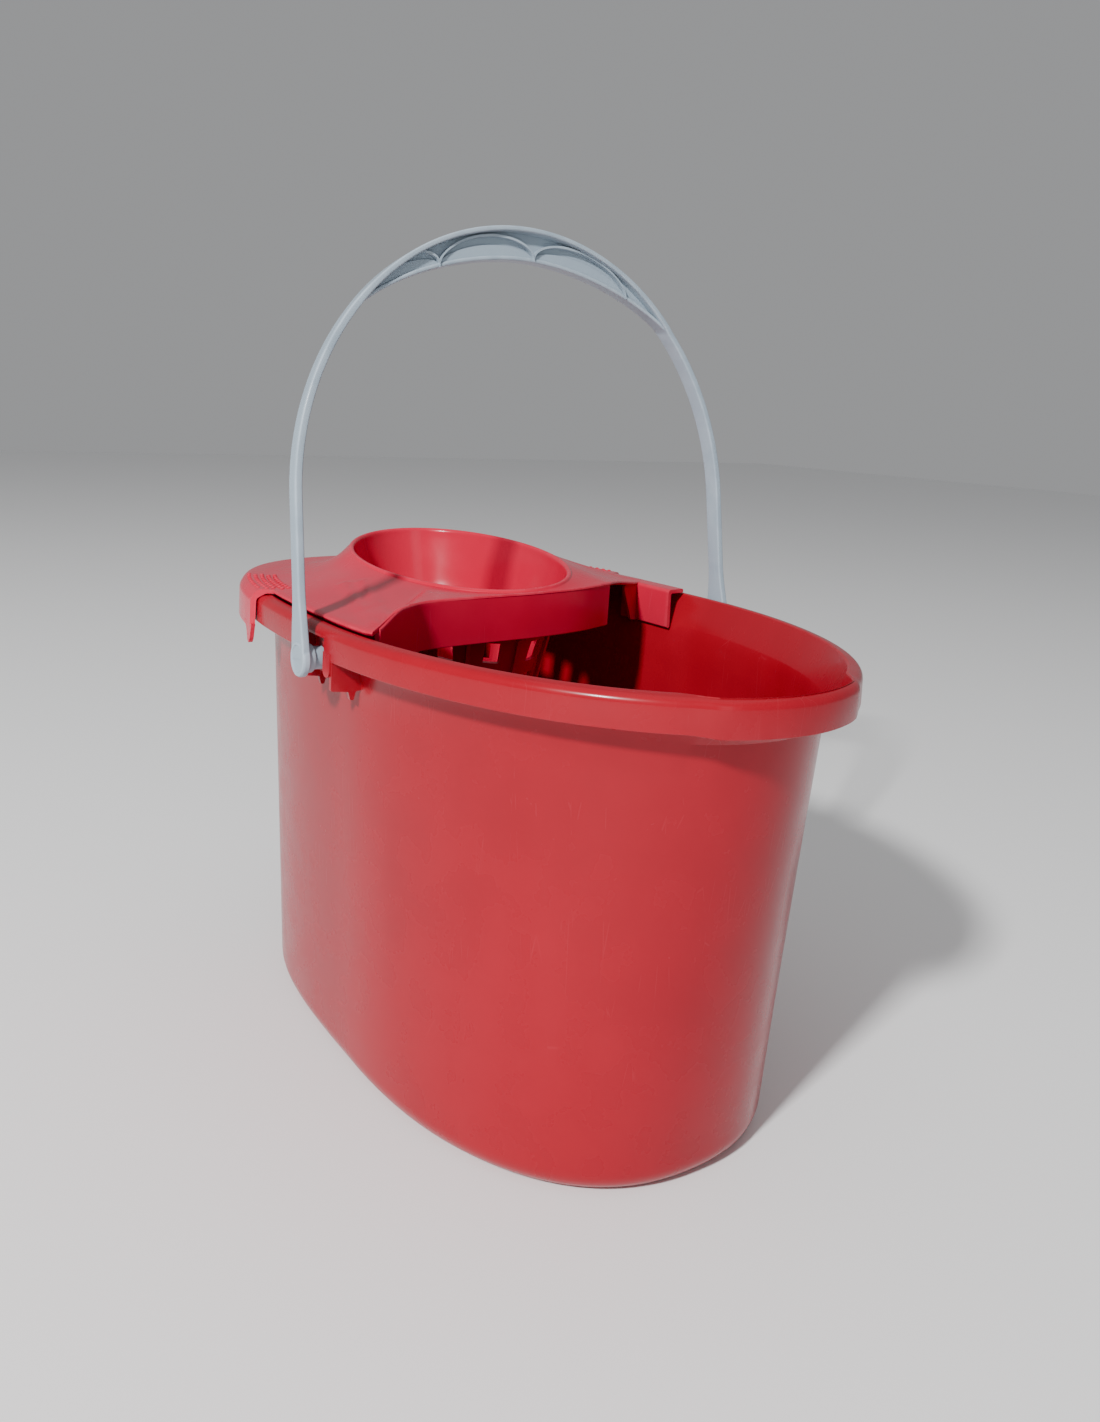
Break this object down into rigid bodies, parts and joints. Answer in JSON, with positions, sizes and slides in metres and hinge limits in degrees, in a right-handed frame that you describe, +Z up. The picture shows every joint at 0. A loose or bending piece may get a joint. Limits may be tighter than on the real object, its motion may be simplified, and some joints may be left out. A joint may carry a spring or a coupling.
{
  "type": "oval mop bucket",
  "caption": "Oval plastic bucket with a broad rolled rim, a clip-in funnel wringer over its rear end and an arched bail handle.",
  "frame": {"origin": "on the floor, in the middle of the footprint", "axes": "+X towards the pour end, +Y towards the side with the wringer's bracket, +Z up"},
  "size_m": [0.4246, 0.278, 0.4541],
  "materials": {
    "bucket_red": "smooth glossy moulded polypropylene, faint scratches",
    "wringer_red": "smooth glossy moulded polypropylene, a little pinker than the bucket",
    "handle_grey": "satin blue-grey moulded plastic"
  },
  "bodies": {
    "bucket": {"bucket": "bucket_red"},
    "wringer": {"wringer": "wringer_red"},
    "handle": {"handle": "handle_grey"}
  },
  "joints": [
    {"name": "handle_hinge", "type": "hinge", "parent": "bucket", "child": "handle", "pos_m": [0.0031, 0, 0.2264], "axis": [0, 1, 0], "range_deg": [-72, 125]},
    {"name": "wringer_lift", "type": "slide", "parent": "bucket", "child": "wringer", "axis": [0, 0, 1], "range_m": [0, 0.11]}
  ]
}
